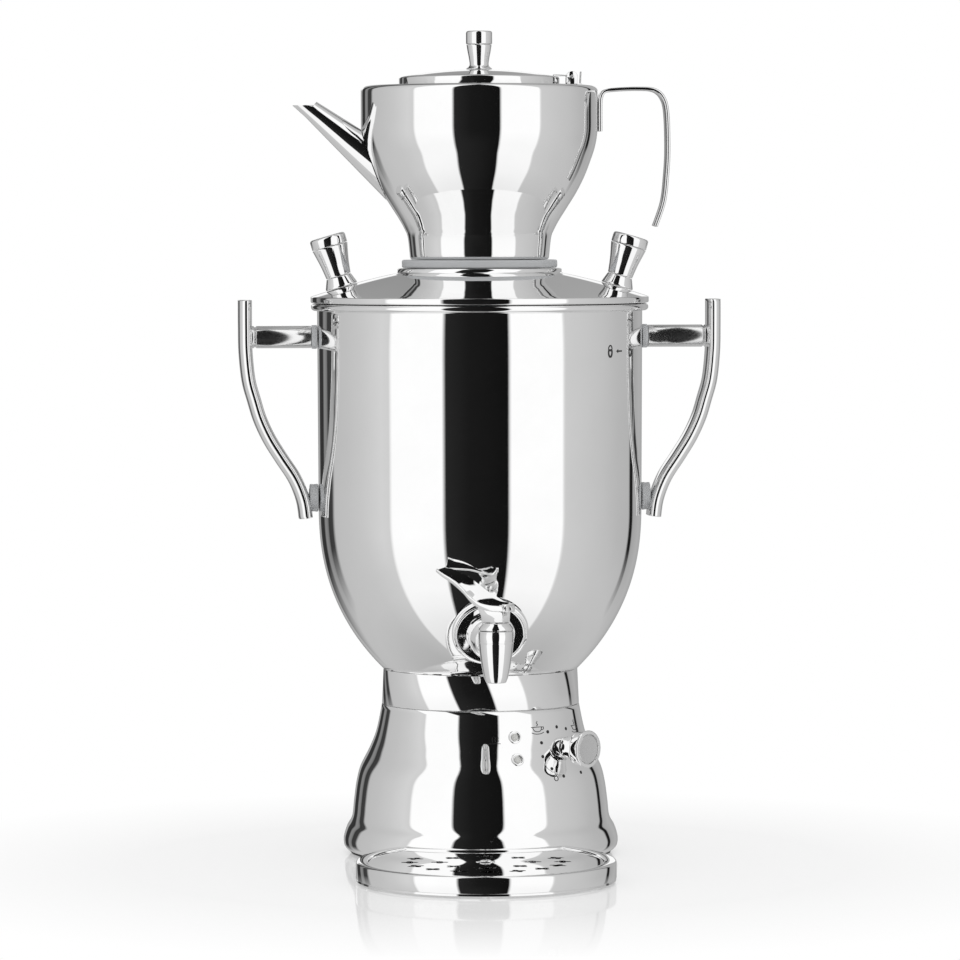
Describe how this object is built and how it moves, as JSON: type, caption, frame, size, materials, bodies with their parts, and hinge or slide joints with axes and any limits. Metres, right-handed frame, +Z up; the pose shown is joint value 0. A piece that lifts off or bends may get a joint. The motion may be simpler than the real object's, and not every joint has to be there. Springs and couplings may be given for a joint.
{
  "type": "electric samovar",
  "caption": "Polished steel electric samovar with a dispensing tap, a drip tray, and a teapot kept warm on the lid of its tank.",
  "frame": {"origin": "on the floor, under the middle of the whole footprint, between the front of the drip tray and the back of the lid", "axes": "+Z up, -Y towards the front, where the tap and the tray are, +X towards the side of the teapot's handle"},
  "size_m": [0.27, 0.2921, 0.4595],
  "materials": {
    "polished_steel": "mirror polished stainless steel",
    "satin_steel": "satin",
    "cast_aluminium": "as cast",
    "grey_silicone": "matte",
    "black_plastic": "matte",
    "black_rubber": "matte",
    "lamp_lens": "translucent gloss"
  },
  "bodies": {
    "samovar": {"base_collar": "polished_steel", "base_shell": "polished_steel", "bottom_plate": "black_plastic", "cord_gland": "black_rubber", "dial_nut": "polished_steel", "dry_boil_cutout": "black_plastic", "foot_1": "black_rubber", "foot_2": "black_rubber", "foot_3": "black_rubber", "foot_4": "black_rubber", "handle_left": "polished_steel", "handle_right": "polished_steel", "handle_strut_left": "polished_steel", "handle_strut_right": "polished_steel", "heater_element": "satin_steel", "heater_plate": "cast_aluminium", "lamp_bezel_lower": "polished_steel", "lamp_bezel_upper": "polished_steel", "lamp_lens_lower": "lamp_lens", "lamp_lens_upper": "lamp_lens", "lower_spacer_left": "grey_silicone", "lower_spacer_right": "grey_silicone", "strut_ring_left": "grey_silicone", "strut_ring_right": "grey_silicone", "tank": "polished_steel", "tap_body": "polished_steel", "tap_bonnet": "polished_steel", "tap_escutcheon": "polished_steel", "tap_gasket": "grey_silicone", "tap_nut": "satin_steel", "tap_washer": "grey_silicone", "thermostat": "satin_steel", "tie_nut": "satin_steel", "tie_rod": "satin_steel"},
    "drip_tray": {"drip_tray": "polished_steel"},
    "drip_grill": {"drip_grill": "polished_steel"},
    "control_knob": {"control_knob": "polished_steel", "control_knob_insert": "satin_steel"},
    "tap_valve": {"tap_plug": "satin_steel", "tap_lever": "polished_steel", "tap_lever_pin": "satin_steel"},
    "lid_seal": {"lid_seal": "grey_silicone"},
    "lid": {"lid": "polished_steel", "rest_ring": "grey_silicone", "lid_knob_collar_left": "polished_steel", "lid_knob_body_left": "polished_steel", "lid_knob_cap_left": "polished_steel", "lid_knob_collar_right": "polished_steel", "lid_knob_body_right": "polished_steel", "lid_knob_cap_right": "polished_steel"},
    "teapot": {"teapot_body": "polished_steel", "teapot_spout": "polished_steel", "teapot_handle": "polished_steel", "teapot_hinge_bracket": "polished_steel", "teapot_hinge_pin": "satin_steel"},
    "teapot_lid": {"teapot_lid": "polished_steel", "teapot_hinge_leaf": "polished_steel", "teapot_knob_body": "polished_steel", "teapot_knob_cap": "polished_steel"}
  },
  "joints": [
    {"name": "drip_tray_slide", "type": "slide", "parent": "samovar", "child": "drip_tray", "axis": [-0.0489, -0.9988, 0], "range_m": [0, 0.12]},
    {"name": "drip_grill_lift", "type": "slide", "parent": "drip_tray", "child": "drip_grill", "axis": [0, 0, 1], "range_m": [0, 0.05]},
    {"name": "control_knob_turn", "type": "hinge", "parent": "samovar", "child": "control_knob", "pos_m": [0, 0.05172, 0.0632], "axis": [0.6909, -0.723, 0], "range_deg": [0, 270]},
    {"name": "tap_valve_turn", "type": "hinge", "parent": "samovar", "child": "tap_valve", "pos_m": [0, -0.06625, 0.13], "axis": [0, 0, 1], "range_deg": [0, 90]},
    {"name": "lid_lift", "type": "slide", "parent": "samovar", "child": "lid_seal", "axis": [0, 0, 1], "range_m": [0, 0.12]},
    {"name": "lid_lock_turn", "type": "hinge", "parent": "lid_seal", "child": "lid", "pos_m": [0, 0.05172, 0.311], "axis": [0, 0, 1], "range_deg": [0, 26]},
    {"name": "teapot_lift", "type": "slide", "parent": "lid", "child": "teapot", "axis": [0, 0, 1], "range_m": [0, 0.15]},
    {"name": "teapot_lid_hinge", "type": "hinge", "parent": "teapot", "child": "teapot_lid", "pos_m": [0.0517, 0.05172, 0.4341], "axis": [0, 1, 0], "range_deg": [0, 125]}
  ]
}
